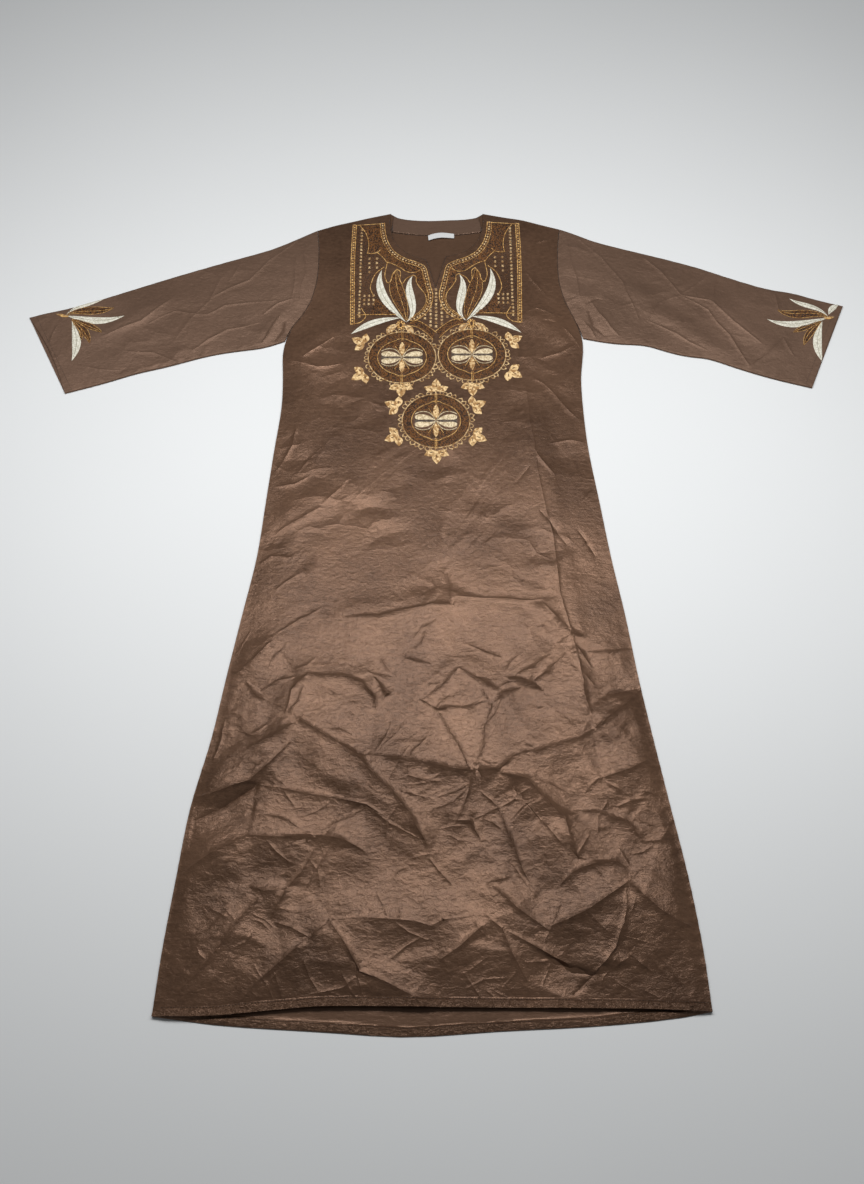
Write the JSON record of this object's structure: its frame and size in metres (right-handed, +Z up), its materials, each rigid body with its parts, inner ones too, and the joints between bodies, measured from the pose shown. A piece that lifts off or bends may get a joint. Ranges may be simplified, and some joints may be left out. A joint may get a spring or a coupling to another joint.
{
  "type": "jebba",
  "caption": "Long straight-sleeved satin dress laid out flat, front up, with a scooped and slit neckline and an open hem.",
  "frame": {"origin": "middle of the laid garment, on the surface it lies on", "axes": "+Z up from the surface, +Y towards the neck, +X towards the sleeve at the picture's right"},
  "size_m": [1.3891, 1.406, 0.0153],
  "materials": {
    "front_satin": "brown satin with a soft sheen, crumpled, embroidered at the neck",
    "back_satin": "brown satin, right side down",
    "sleeve_satin": "brown satin with a soft sheen, embroidered at the cuff",
    "facing_satin": "brown satin",
    "label_tape": "blank white woven tape",
    "gold_thread": "gold and tan embroidery thread",
    "ivory_thread": "ivory embroidery thread",
    "rust_thread": "dark rust brown embroidery thread"
  },
  "bodies": {
    "root": {"front_panel": "front_satin", "back_panel": "back_satin", "sleeve_left": "sleeve_satin", "sleeve_right": "sleeve_satin", "back_neck_facing": "facing_satin", "neck_label": "label_tape"}
  },
  "joints": []
}
